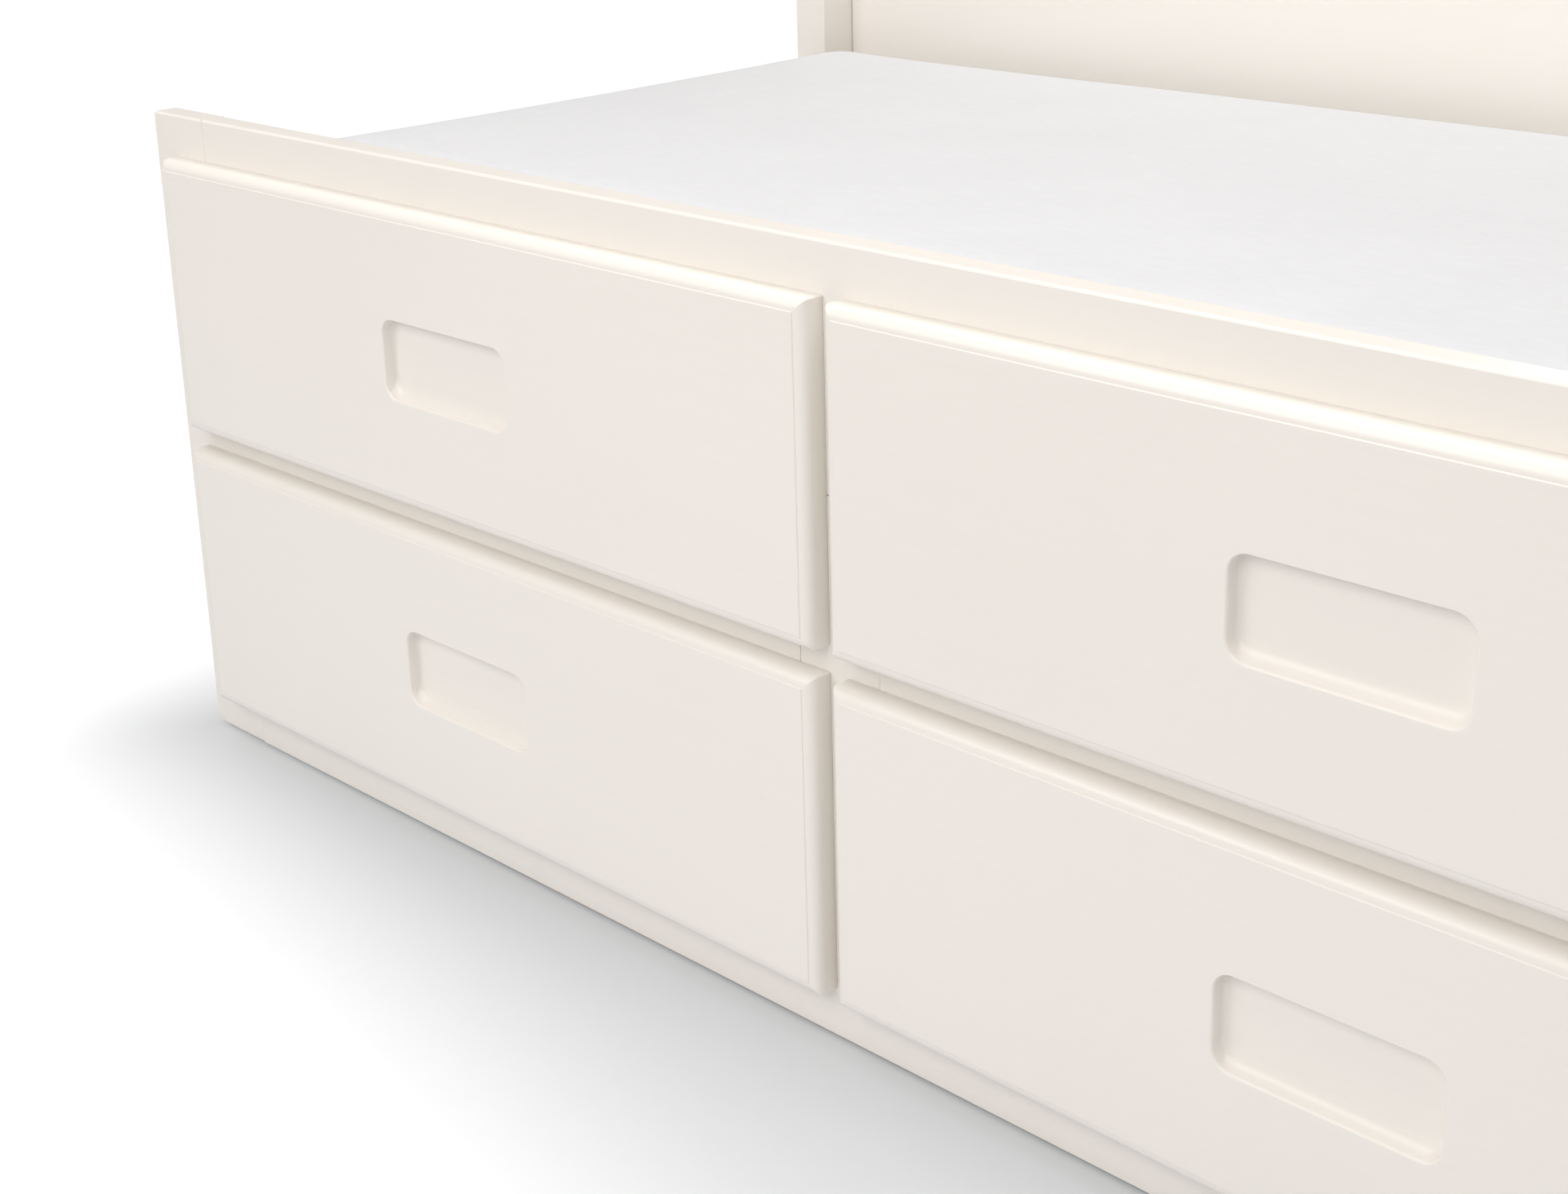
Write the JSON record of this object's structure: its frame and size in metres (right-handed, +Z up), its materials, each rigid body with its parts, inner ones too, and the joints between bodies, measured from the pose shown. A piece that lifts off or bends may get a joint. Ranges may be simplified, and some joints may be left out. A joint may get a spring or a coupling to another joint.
{
  "type": "storage bed",
  "caption": "Cream lacquered wooden daybed frame with a tall panelled back, overlay drawers with routed pulls along the front, a slatted base and its mattress.",
  "frame": {"origin": "on the floor, under the middle of the bed's overall box", "axes": "+X along the bed, to the right as seen from the drawer side; +Y towards the tall back; +Z up"},
  "size_m": [2, 1.08, 1],
  "materials": {
    "stone_white_lacquer": "satin stone-white lacquer over wood, smooth, with a faint brushed grain",
    "inner_wood": "sanded unlacquered softwood",
    "slat_wood": "planed softwood slats",
    "mattress_cover": "tight pale grey-white woven cover",
    "glide_plastic": "matte pale grey nylon"
  },
  "bodies": {
    "frame": {"front_left_stile": "stone_white_lacquer", "front_right_stile": "stone_white_lacquer", "front_top_rail": "stone_white_lacquer", "front_bottom_rail": "stone_white_lacquer", "front_centre_stile": "stone_white_lacquer", "front_mid_rail_left": "stone_white_lacquer", "front_mid_rail_right": "stone_white_lacquer", "left_end_panel": "stone_white_lacquer", "right_end_panel": "stone_white_lacquer", "centre_partition": "inner_wood", "back_left_post": "stone_white_lacquer", "back_right_post": "stone_white_lacquer", "back_top_rail": "stone_white_lacquer", "back_bottom_rail": "stone_white_lacquer", "back_panel": "stone_white_lacquer", "front_slat_ledger": "inner_wood", "back_slat_ledger": "inner_wood", "slat_01": "slat_wood", "slat_02": "slat_wood", "slat_03": "slat_wood", "slat_04": "slat_wood", "slat_05": "slat_wood", "slat_06": "slat_wood", "slat_07": "slat_wood", "slat_08": "slat_wood", "slat_09": "slat_wood", "slat_10": "slat_wood", "lower_left_drawer_left_runner": "inner_wood", "lower_left_drawer_right_runner": "inner_wood", "upper_left_drawer_left_runner": "inner_wood", "upper_left_drawer_right_runner": "inner_wood", "lower_right_drawer_left_runner": "inner_wood", "lower_right_drawer_right_runner": "inner_wood", "upper_right_drawer_left_runner": "inner_wood", "upper_right_drawer_right_runner": "inner_wood", "front_left_glide": "glide_plastic", "front_right_glide": "glide_plastic", "back_left_glide": "glide_plastic", "back_right_glide": "glide_plastic"},
    "lower_left_drawer": {"lower_left_drawer_front": "stone_white_lacquer", "lower_left_drawer_left_side": "inner_wood", "lower_left_drawer_right_side": "inner_wood", "lower_left_drawer_back": "inner_wood", "lower_left_drawer_bottom": "inner_wood"},
    "upper_left_drawer": {"upper_left_drawer_front": "stone_white_lacquer", "upper_left_drawer_left_side": "inner_wood", "upper_left_drawer_right_side": "inner_wood", "upper_left_drawer_back": "inner_wood", "upper_left_drawer_bottom": "inner_wood"},
    "lower_right_drawer": {"lower_right_drawer_front": "stone_white_lacquer", "lower_right_drawer_left_side": "inner_wood", "lower_right_drawer_right_side": "inner_wood", "lower_right_drawer_back": "inner_wood", "lower_right_drawer_bottom": "inner_wood"},
    "upper_right_drawer": {"upper_right_drawer_front": "stone_white_lacquer", "upper_right_drawer_left_side": "inner_wood", "upper_right_drawer_right_side": "inner_wood", "upper_right_drawer_back": "inner_wood", "upper_right_drawer_bottom": "inner_wood"},
    "mattress": {"mattress": "mattress_cover"}
  },
  "joints": [
    {"name": "lower_left_drawer_slide", "type": "slide", "parent": "frame", "child": "lower_left_drawer", "axis": [0, -1, 0], "range_m": [0, 0.4]},
    {"name": "upper_left_drawer_slide", "type": "slide", "parent": "frame", "child": "upper_left_drawer", "axis": [0, -1, 0], "range_m": [0, 0.4]},
    {"name": "lower_right_drawer_slide", "type": "slide", "parent": "frame", "child": "lower_right_drawer", "axis": [0, -1, 0], "range_m": [0, 0.4]},
    {"name": "upper_right_drawer_slide", "type": "slide", "parent": "frame", "child": "upper_right_drawer", "axis": [0, -1, 0], "range_m": [0, 0.4]},
    {"name": "mattress_lift", "type": "slide", "parent": "frame", "child": "mattress", "axis": [0, 0, 1], "range_m": [0, 0.35]}
  ]
}
